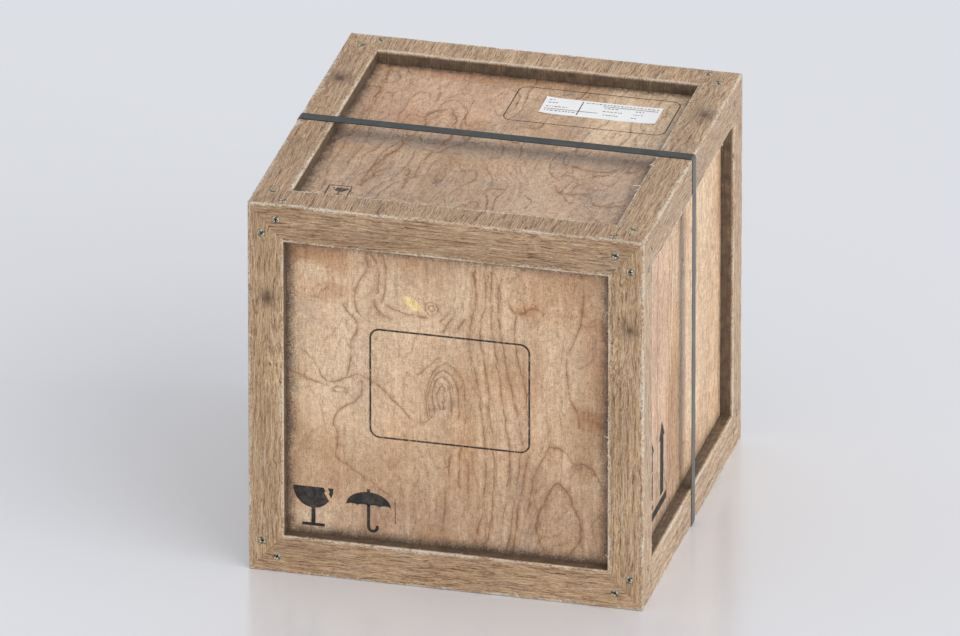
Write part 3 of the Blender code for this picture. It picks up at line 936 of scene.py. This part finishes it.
def front_stains(graph, colour, across, along, ragged):
    """The colour with the front panel's patch, lighter than the sheet round it, and its water stains."""
    cosine, sine = PATCH_TURN
    u, v, width, length = (size / 1000 for size in PATCH)
    u, v = across - u, along - v
    patch = hypot((u * cosine - v * sine) / width, (u * sine + v * cosine) / length) + ragged * 0.7
    colour = graph.mix(patch.fall(0.80, 1.05), colour, PATCH_COLOUR)
    for tint, *sizes, strength in TIDES:
        reach = to_spot(across, along, *sizes) + ragged * 0.6
        colour = graph.mix(reach.fall(0.88, 1.04) * (0.5 * strength), colour, tint)
        colour = graph.mix(abs(reach - 0.97).fall(0, 0.08) * (0.35 * strength), colour, PLY_STAIN)
    return colour


def middle_ply(panel, place):
    """Where the panel's edge shows its darker middle ply between two glue lines."""
    through = abs(from_face(panel.through, panel.sign, 0) - place[panel.through]) - PANEL_RECESS
    half_ply = PANEL_THICKNESS / 6
    return abs(through - PANEL_THICKNESS / 2).fall(half_ply, half_ply + 0.0002)


def veneer_ground(graph, panel, point, late):
    """The colour of the bare sheet: its hues, clouds and late wood."""
    cloud = point.noise((15, 8, 15), 4, 4, 0.6)
    hue = point.noise((22, 4, 22), 9)
    colour = graph.mix(hue.rise(0.35, 0.65), PLY_ROSE, PLY_LIGHT)
    colour = graph.mix(cloud.fall(0.36, 0.58) * 0.85, colour, PLY_MIDDLE)
    colour = graph.mix(cloud.rise(0.52, 0.70) * (0.9 - panel.soil), colour, PLY_PALE)
    return graph.mix(late * 0.42, colour, PLY_STAIN)


def edge_dirt_and_shade(panel, across, along, frayed):
    """Painted shade and dirt in the recess, along the panel's edges."""
    sides, ends = (SIZE[axis] / 2 - REACH[axis] - abs(far)
                   for axis, far in ((panel.across, across), (panel.along, along)))
    return (sides.least(ends) + frayed).fall(-0.003, 0.017) * min(0.9, 2.6 * panel.soil)


def panel_material(panel):
    graph = material_graph(panel.name + "_veneer", panel.seed)
    place = graph.point().parts()
    across = place[panel.across]
    along = place[panel.along] - (HEIGHT / 2 if panel.along == Z else 0)
    point = point_at(across, along, place[panel.through])
    line, minor, late = ring_lines(panel, point, across, along)
    drawn = drawn_lines(panel, across, along)
    patchy = point.noise((70, 46, 70), 18, 3, 0.65)
    core = drawn.fall(LINE_CORE * 0.1, LINE_CORE * 1.7) * (patchy.rise(0.30, 0.62) * 0.8 + 0.2)
    halo = drawn.fall(0, LINE_HALO) * (patchy.rise(0.25, 0.60) * 0.30 + 0.12)
    colour = veneer_ground(graph, panel, point, late)
    ragged = point.noise((75, 40, 75), 8, 4, 0.7) - 0.5
    speckle = point.noise(420, 11, 2, 0.7) - 0.5
    for tint, *sizes, strength in panel.spots:
        reach = to_spot(across, along, *sizes) + ragged * 1.3
        share = reach.fall(0.30, 1.25) * (0.62 * strength)
        colour = graph.mix(share * (1 + speckle * 2.2), colour, tint)
    colour = graph.mix(halo, colour, PLY_STAIN)
    soil = point.noise((26, 20, 26), 10, 5, 0.7)
    colour = graph.mix(soil.rise(0.52, 0.74) * panel.soil, colour, PLY_GREY)
    pits = point.noise((330, 210, 330), 20, 1).rise(0.70, 0.78)
    if panel.name == "lid_panel":
        # A joint between two veneers runs from the back edge
        joint = across.rise(VENEER_JOINT - 0.0005, VENEER_JOINT + 0.0005) * along.rise(0.02, 0.06)
        colour = graph.mix(joint * 0.45, colour, PLY_PALE)
    if panel.name == "front_panel":
        colour = front_stains(graph, colour, across, along, ragged)
        near = to_spot(across, along, *PITTED).fall(0.5, 1.2)
        pits = pits.most(point.noise((250, 220, 250), 21, 2, 0.6).rise(0.59, 0.67) * near)
    stripe = point.noise((200, 9, 200), 5, 4, 0.65) - 0.5
    fleck = point.noise((520, 120, 520), 6, 3, 0.7) - 0.5
    weave = point.noise((110, 560, 110), 15, 2, 0.6) - 0.5
    grain = point.noise(640, 16, 2, 0.6) - 0.5
    mottle = point.noise((130, 90, 130), 19, 3, 0.7) - 0.5
    pores = point.noise((900, 170, 900), 7, 1).rise(0.60, 0.70)
    tone = 1.06 - line * 0.50 - minor * 0.26 + stripe * 0.6 + fleck * 0.85
    tone = tone + weave * 0.45 + grain + mottle * 0.75 - pores * 0.22 - pits * 0.30
    colour = graph.shade(colour, tone)
    colour = graph.mix(core * panel.dark, colour, PLY_LINE)
    # Painted shade and dirt along the panel's edges, in the recess
    colour = graph.mix(edge_dirt_and_shade(panel, across, along, ragged * 0.016 + speckle * 0.026), colour, PLY_DIRT_AND_SHADE)
    colour = graph.mix(middle_ply(panel, place) * 0.55, colour, PLY_MIDDLE)
    height = fleck * 0.7 + stripe * 0.4 - pores * 0.4
    return graph.finish(colour, fleck * 0.25 + 0.62, height, 0.0003, 0.7)


def dress_panels():
    for panel in PANELS:
        frame["nodes"][panel.name].material_slots[0].material = panel_material(panel)


# Strap and seal

def strap_material():
    graph = material_graph("strap_steel")
    point = graph.point()
    place = point.parts()
    scuff = point.noise((30, 900, 30), 5, 3, 0.6)
    dust = point.noise(60, 9, 3, 0.6)
    edge = abs(place[Y]).rise(STRAP_WIDTH / 2 - 0.0014, STRAP_WIDTH / 2 - 0.0002)
    colour = graph.mix(dust.rise(0.35, 0.7), (0.022, 0.030, 0.030), (0.048, 0.053, 0.050))
    colour = graph.mix(scuff.rise(0.58, 0.75) * 0.35, colour, (0.15, 0.16, 0.16))
    colour = graph.mix(edge * 0.7, colour, (0.012, 0.016, 0.016))
    # The strap's upright runs on the crate's sides are painted paler: a painted sheen, patchy with dust
    upright = abs(place[X]).rise(WIDTH / 2 - 0.0030, WIDTH / 2 - 0.0005)
    colour = graph.mix(upright * (dust * 0.5 + 0.25), colour, (0.22, 0.208, 0.195))
    return graph.finish(colour, scuff * 0.3 + 0.30, scuff, 0.0001, 0.5, {"Metallic": 0.2})


def seal_material():
    graph = material_graph("seal_steel")
    point = graph.point()
    flakes = point.noise(300, 2)
    rub = point.noise((120, 900, 120), 6, 3)
    colour = graph.mix(flakes.rise(0.35, 0.65), (0.36, 0.37, 0.37), (0.52, 0.52, 0.50))
    colour = graph.mix(rub.rise(0.6, 0.75) * 0.5, colour, (0.16, 0.14, 0.12))
    return graph.finish(colour, flakes * 0.2 + 0.32, rub, 0.0001, 0.4, {"Metallic": 0.85})


def dress_strap():
    steel = strap_material()
    for name in ("strap_over_lid", "strap_under_base"):
        frame["nodes"][name].material_slots[0].material = steel
    frame["nodes"]["strap_seal"].material_slots[0].material = seal_material()


# Marks

# How far ink and paper stand off a panel, and the label's corners from the lid's middle
INK_RISE = 0.00008
PAPER_RISE = 0.0003
LABEL_LOW, LABEL_HIGH = (0.024, 0.116), (0.172, 0.163)


def ellipse(width, height, start, end, steps):
    """Points of an ellipse's arc, from its half width and half height, with angles in degrees."""
    turns = [math.radians(start + (end - start) * step / steps) for step in range(steps + 1)]
    return [(width * math.cos(turn), height * math.sin(turn)) for turn in turns]


def moved(points, u, v, scale=1.0, hand=1):
    return [(u + hand * scale * x, v + scale * y) for x, y in points]


def rectangle(low, high):
    return [low, (high[0], low[1]), high, (low[0], high[1])]


def rounded(low, high, radius):
    """A rectangle's outline with round corners."""
    left, bottom = low[0] + radius, low[1] + radius
    right, top = high[0] - radius, high[1] - radius
    points = []
    for n, middle in enumerate(((right, top), (left, top), (left, bottom), (right, bottom))):
        points += arc(middle, radius, 90 * n, 8)
    return points


def ribbon(points, width, closed=False):
    """A line of that width along the points, as four-sided polygons."""
    places = [Vector(point) for point in points]
    count = len(places)
    sides = []
    for n, place in enumerate(places):
        before = places[n - 1] if closed or n else place
        after = places[(n + 1) % count] if closed or n + 1 < count else place
        out = (after - before).normalized().orthogonal() * width / 2
        sides.append((place + out, place - out))
    pairs = list(zip(sides, sides[1:] + sides[:1]))
    return [(a, b, d, c) for (a, b), (c, d) in (pairs if closed else pairs[:-1])]


def goblet():
    """The cracked glass that marks breakable goods, from the middle of its rim, in metres."""
    rim, deep, stem, foot = 0.0255, 0.0285, 0.0026, 0.0143
    crack = [(0.0135, -0.0064), (0.0155, -0.0051), (0.0130, 0)]
    chip = [(0.0184, 0), (0.0209, -0.0060), (0.0194, -0.0072)]
    return [
        ellipse(rim, deep, 180, 321.5, 24) + crack,
        ellipse(rim, deep, 331, 360, 8) + chip,
        rectangle((-stem, -0.0490), (stem, -0.0283)),
        rectangle((-foot, -0.0530), (foot, -0.0490)),
    ]


def umbrella():
    """The umbrella that marks goods to keep dry, from the middle of its lower edge."""
    half, shaft, hook, low = 0.0285, 0.0020, 0.0055, -0.0275
    canopy = ellipse(half, 0.0195, 0, 180, 30)
    for n in range(4):
        scallop = moved(ellipse(half / 4, 0.0024, 180, 0, 6), half * (n / 2 - 0.75), 0)
        canopy += scallop[1:-1] if n == 3 else scallop[1:]
    crook = [*moved(ellipse(hook, hook, 180, 360, 14), hook, low), (2 * hook, -0.0250)]
    return [
        canopy,
        rectangle((-shaft, 0.0194), (shaft, 0.0235)),
        rectangle((-shaft, low), (shaft, 0.0022)),
        *ribbon(crook, 2 * shaft),
    ]


def arrow():
    """An upright arrow, from the middle of its foot."""
    head, shaft, neck, tip = 0.0145, 0.0085, 0.076, 0.098
    return [(-shaft, 0), (shaft, 0), (shaft, neck), (head, neck), (0, tip), (-head, neck), (-shaft, neck)]


def printed(name, panel_name, polygons, material, rise=INK_RISE):
    """Flat shapes on a panel's outer face, given across and along from its middle."""
    panel = next(panel for panel in PANELS if panel.name == panel_name)
    middle = HEIGHT / 2 if panel.along == Z else 0
    level = from_face(panel.through, panel.sign, PANEL_RECESS - rise)
    shape = bmesh.new()
    for polygon in polygons:
        face = shape.faces.new([
            shape.verts.new(vector((panel.across, u), (panel.along, v + middle), (panel.through, level)))
            for u, v in polygon
        ])
        face.normal_update()
        if face.normal[panel.through] * panel.sign < 0:
            face.normal_flip()
    mesh = mesh_from(shape, name)
    mesh.materials.append(material)
    add_piece(mesh, "lid" if panel_name == "lid_panel" else "crate")


def ink_material(name, worn):
    graph = material_graph(name)
    point = graph.point()
    mottle = point.noise(130, 4, 4, 0.65)
    rubbed = point.noise((700, 700, 260), 8, 3, 0.7)
    colour = graph.mix(mottle.rise(0.40, 0.72), (0.018, 0.0155, 0.0145), (0.082, 0.064, 0.056))
    colour = graph.mix((rubbed + mottle * 0.35).rise(0.88 - worn, 1.0 - worn), colour, PLY_MIDDLE)
    return graph.finish(colour, mottle * 0.2 + 0.6, rubbed, 0.0001, 0.3)


def paper_material():
    graph = material_graph("label_paper")
    point = graph.point()
    fibre = point.noise(700, 3, 3, 0.6)
    stain = point.noise(45, 6, 3, 0.6)
    colour = graph.mix(stain.rise(0.45, 0.75) * 0.35, (0.985, 0.985, 0.985), (0.90, 0.885, 0.85))
    colour = graph.shade(colour, fibre * 0.06 + 0.98)
    coat = {"Coat Weight": 1, "Coat IOR": 1.7, "Coat Roughness": 0.3}
    return graph.finish(colour, fibre * 0.1 + 0.5, fibre, 0.0001, 0.3, coat)


def label_mesh():
    """The address label as a thin sheet that lies a little unevenly, its corners just lifted."""
    shape = bmesh.new()
    columns, rows = 48, 16
    unevenness, corner_lift, thickness = 0.0001, 0.0012, 0.00015
    grid = []
    for n in range(rows + 1):
        line = []
        for m in range(columns + 1):
            u = LABEL_LOW[0] + (LABEL_HIGH[0] - LABEL_LOW[0]) * m / columns
            v = LABEL_LOW[1] + (LABEL_HIGH[1] - LABEL_LOW[1]) * n / rows
            corner = abs(2 * m / columns - 1) ** 8 * abs(2 * n / rows - 1) ** 8
            rise = PAPER_RISE + unevenness * noise.noise((u * 60, v * 60, 3)) + corner_lift * corner
            line.append(shape.verts.new((u, v, from_face(Z, 1, PANEL_RECESS) + rise)))
        grid.append(line)
    bridge(shape, grid, closed=False)
    shape.normal_update()
    bmesh.ops.solidify(shape, geom=shape.faces, thickness=thickness)
    return mesh_from(shape, "address_label")


def label_rules():
    """Blank dotted rules and a divider, as on an unfilled form."""
    polygons = ribbon([(0.0715, 0.120), (0.0715, 0.159)], 0.0011)
    fields = [(0.029, 0.037, 0.157), (0.029, 0.042, 0.149), (0.029, 0.056, 0.138), (0.029, 0.064, 0.126),
              (0.076, 0.168, 0.157), (0.101, 0.119, 0.147), (0.101, 0.123, 0.138), (0.103, 0.122, 0.128),
              (0.141, 0.153, 0.146), (0.140, 0.150, 0.137), (0.139, 0.147, 0.127)]
    half_height = 0.0006
    for start, end, v in fields:
        u = start
        while u < end:
            dash = random.uniform(0.0012, 0.0040)
            polygons.append(rectangle((u, v - half_height), (u + dash, v + half_height)))
            u += dash + random.uniform(0.0010, 0.0022)
    for start, end, v in ((0.098, 0.168, 0.152), (0.028, 0.096, 0.131)):
        polygons += ribbon([(start, v), (end, v)], 0.0008)
    return polygons


def add_marks():
    ink = ink_material("stencil_ink", 0.0)
    thin_ink = ink_material("thin_stencil_ink", 0.15)
    outline = rounded((-0.099, -0.059), (0.102, 0.087), 0.012)
    printed("front_outline", "front_panel", ribbon(outline, 0.0024, True), thin_ink)
    printed("front_goblet", "front_panel", [moved(part, -0.1715, -0.136) for part in goblet()], ink)
    printed("front_umbrella", "front_panel", [moved(part, -0.1015, -0.155) for part in umbrella()], ink)
    printed("front_tick", "front_panel", ribbon([(-0.068, -0.141), (-0.0675, -0.175)], 0.0011), thin_ink)
    outline = rounded((-0.015, 0.087), (0.190, 0.187), 0.012)
    printed("lid_outline", "lid_panel", ribbon(outline, 0.0016, True), thin_ink)
    outline = rounded((-0.1725, -0.204), (-0.144, -0.1506), 0.002)
    printed("lid_goblet_frame", "lid_panel", ribbon(outline, 0.0018, True), thin_ink)
    small = [moved(part, -0.1566, -0.1564, 0.39, -1) for part in goblet()]
    printed("lid_goblet", "lid_panel", small, thin_ink)
    arrows = [moved(arrow(), u, -0.166) for u in (-0.0935, -0.1485)]
    printed("right_arrows", "right_panel", arrows + [rectangle((-0.172, -0.182), (-0.070, -0.171))], ink)
    label = label_mesh()
    label.materials.append(paper_material())
    add_piece(label, "lid")
    printed("label_rules", "lid_panel", label_rules(), thin_ink, PAPER_RISE + 0.0003)


# Splinters

SPLINTERS_PER_EDGE = 28
# How far they start from a timber's ends, inside its two outer faces, and inside an opening's edge
CORNER_CLEARANCE = 0.055
ARRIS_DEPTHS = (0.0016, 0.0002)
OPENING_INSET = 0.001


def sliver(shape, start, along, out, length, thick):
    """A tapered, slightly curled fibre that lifts from the timber."""
    side = along.cross(out).normalized()
    turns = [math.radians(90 + 120 * n) for n in range(3)]
    rings = []
    for step in range(4):
        share = step / 3
        middle = start + along * (length * share) + out * (length * 0.10 * share)
        size = thick * (1 - 0.75 * share * share)
        rings.append([
            shape.verts.new(middle + size * (math.cos(turn) * side + math.sin(turn) * out)) for turn in turns
        ])
    bridge(shape, rings)
    for ring in (rings[0], rings[-1]):
        shape.faces.new(ring)


def add_splinters(timbers):
    shapes = {"crate": bmesh.new(), "lid": bmesh.new()}
    for timber in timbers:
        (i, i_sign), (j, j_sign) = timber.sides.items()
        k = timber.along
        # An edge is its depths inside the two outer faces, the way out of the face and the way across it
        over_i = (vector((j, j_sign)), vector((i, -i_sign)))
        over_j = (vector((i, i_sign)), vector((j, -j_sign)))
        edges = [
            (*ARRIS_DEPTHS, *over_i),
            (*reversed(ARRIS_DEPTHS), *over_j),
            (REACH[i] - OPENING_INSET, 0, *over_i),
            (0, REACH[j] - OPENING_INSET, *over_j),
        ]
        # The underside has none, because the crate stands on it
        for a, b, out, across in (edge for edge in edges if edge[2].z >= 0):
            for _ in range(SPLINTERS_PER_EDGE):
                reach = random.uniform(CORNER_CLEARANCE, SIZE[k] - CORNER_CLEARANCE)
                start = vector(
                    (i, from_face(i, i_sign, a)), (j, from_face(j, j_sign, b)), (k, from_face(k, -1, reach))
                )
                lean = random.gauss(0, 0.75)
                if max(a, b) == ARRIS_DEPTHS[0]:
                    # Off an outer edge a splinter lies over the face, inside the crate's outline
                    lean = abs(lean)
                along = (vector((k, random.choice((-1, 1)))) + across * lean).normalized()
                span = (0.0025, 0.006) if random.random() < 0.75 else (0.006, 0.012)
                length = random.uniform(*span)
                sliver(shapes[timber.body], start, along, out, length, random.uniform(0.0002, 0.0004))
    graph = material_graph("splintered_fibre")
    fibre = graph.point().noise(300, 5)
    colour = graph.mix(fibre.rise(0.2, 0.6), TIMBER_PALE, (0.88, 0.82, 0.73))
    pale = graph.finish(colour, fibre * 0.2 + 0.6)
    for body, shape in shapes.items():
        bmesh.ops.recalc_face_normals(shape, faces=shape.faces)
        mesh = mesh_from(shape, f"splinters_{body}")
        mesh.materials.append(pale)
        add_piece(mesh, body)


# Stage

FLOOR_HALF_SIZE = 60
FLOOR_IOR = 2.2
FLOOR_COLOUR = (0.825, 0.838, 0.883)
BACKDROP_COLOUR = (0.735, 0.755, 0.80)
SKY_COLOUR = (0.97, 0.985, 1.0)
SKY_STRENGTH = 0.68
SUN_COLOUR = (1.0, 0.985, 0.96)
SUN_STRENGTH = 1.45
SUN_ANGLE = 65
SUN_DIRECTION = (0.80, -0.36, 0.48)


def add_camera():
    data = bpy.data.cameras.new("view")
    data.lens = CAMERA_LENS
    data.sensor_width = CAMERA_SENSOR
    data.clip_end = 300
    turn = Matrix.Rotation(math.radians(CAMERA_AZIMUTH), 4, "Z")
    tilt = Matrix.Rotation(math.radians(90 - CAMERA_ELEVATION), 4, "X")
    right, down = ((pixel - size / 2) / PIXELS_PER_METRE for pixel, size in zip(CRATE_PIXEL, IMAGE_SIZE))
    distance = IMAGE_SIZE[0] / PIXELS_PER_METRE * CAMERA_LENS / CAMERA_SENSOR
    middle = Matrix.Translation((0, 0, HEIGHT / 2))
    camera = link("view", data)
    camera.matrix_world = middle @ turn @ tilt @ Matrix.Translation((-right, down, distance))
    bpy.context.scene.camera = camera


def add_floor():
    shape = bmesh.new()
    bmesh.ops.create_grid(shape, x_segments=8, y_segments=8, size=FLOOR_HALF_SIZE)
    floor = link("floor", mesh_from(shape, "floor"))
    graph = material_graph("floor_sheet")
    point = graph.point()
    tone = point.noise((1.1, 1.1, 1), 4)
    grit = point.noise((300, 300, 1), 7)
    colour = graph.mix(tone.rise(0.3, 0.7), FLOOR_COLOUR, tuple(0.985 * part for part in FLOOR_COLOUR))
    floor.data.materials.append(graph.finish(colour, grit * 0.06 + 0.16, constants={"IOR": FLOOR_IOR}))
    floor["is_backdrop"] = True


def add_light():
    """A sky and a wide sun. The camera, and what mirrors, see the backdrop's colour in place of the sky."""
    world = bpy.data.worlds.new("studio")
    bpy.context.scene.world = world
    graph = Graph(world)
    ray = graph.node("ShaderNodeLightPath")
    shown = graph.math("MAXIMUM", ray.outputs["Is Camera Ray"], ray.outputs["Is Glossy Ray"])
    shown = shown.most(ray.outputs["Is Transmission Ray"])
    sky = graph.add("ShaderNodeBackground", (*SKY_COLOUR, 1), SKY_STRENGTH)
    backdrop = graph.add("ShaderNodeBackground", (*BACKDROP_COLOUR, 1), 1)
    mixed = graph.add("ShaderNodeMixShader", shown, sky, backdrop)
    graph.feed(graph.node("ShaderNodeOutputWorld").inputs["Surface"], mixed)
    lamp = bpy.data.lights.new("key", "SUN")
    lamp.energy = SUN_STRENGTH
    lamp.angle = math.radians(SUN_ANGLE)
    lamp.color = SUN_COLOUR
    link("key", lamp).rotation_euler = Vector(SUN_DIRECTION).to_track_quat("Z", "Y").to_euler()


def write_sizes():
    sizes = {"cad": cad_box, "visual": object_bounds()}
    plain = {name: [list(corner) for corner in box] for name, box in sizes.items()}


def main():
    random.seed(5)
    bpy.context.scene.view_settings.view_transform = "Standard"
    add_camera()
    add_floor()
    add_light()
    screws = list(all_screws())
    bores = bore_cutter(screws)
    timbers = list(all_timbers())
    for timber in timbers:
        dress_timber(timber, bores)
    dress_screws(screws)
    dress_panels()
    dress_strap()
    add_marks()
    add_splinters(timbers)
    write_sizes()


main()
